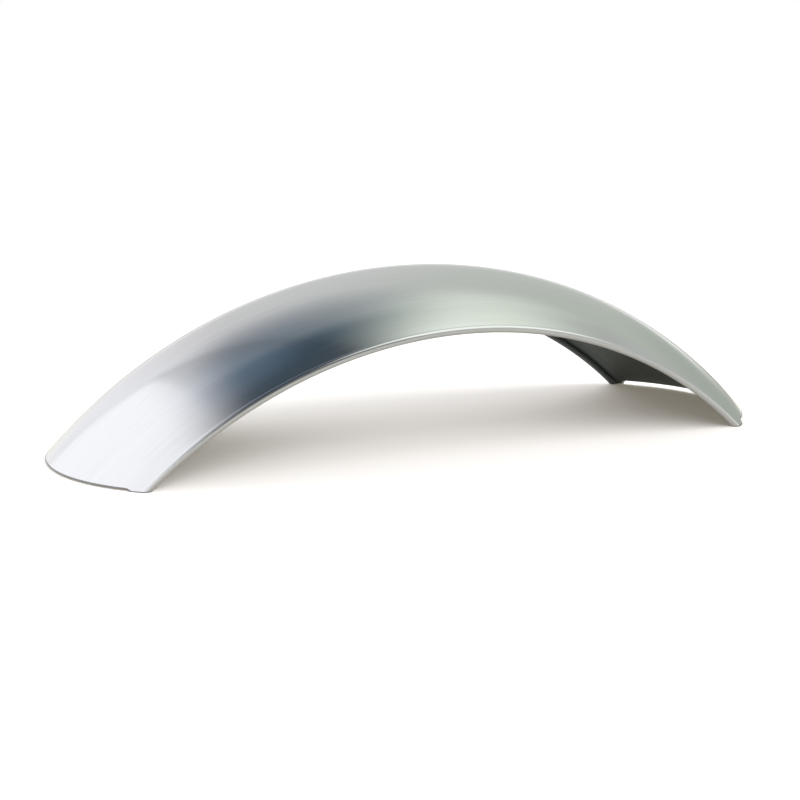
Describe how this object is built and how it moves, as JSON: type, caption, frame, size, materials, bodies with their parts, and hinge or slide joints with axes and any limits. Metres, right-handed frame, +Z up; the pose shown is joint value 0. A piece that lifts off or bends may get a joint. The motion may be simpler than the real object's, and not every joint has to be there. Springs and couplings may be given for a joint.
{
  "type": "motorcycle rear fender",
  "caption": "Short motorcycle rear fender of bare satin aluminium sheet: round cross-section, arched to follow the wheel, long edges curled inward.",
  "frame": {"origin": "centre of the bounding box's base, on the surface that the fender's four curl ends stand on", "axes": "+X along the fender, +Y across it away from the picture's camera, +Z up through the crown"},
  "size_m": [0.5388, 0.17, 0.1209],
  "materials": {
    "aluminium": "satin, finely brushed along the length"
  },
  "bodies": {
    "root": {"fender": "aluminium"}
  },
  "joints": []
}
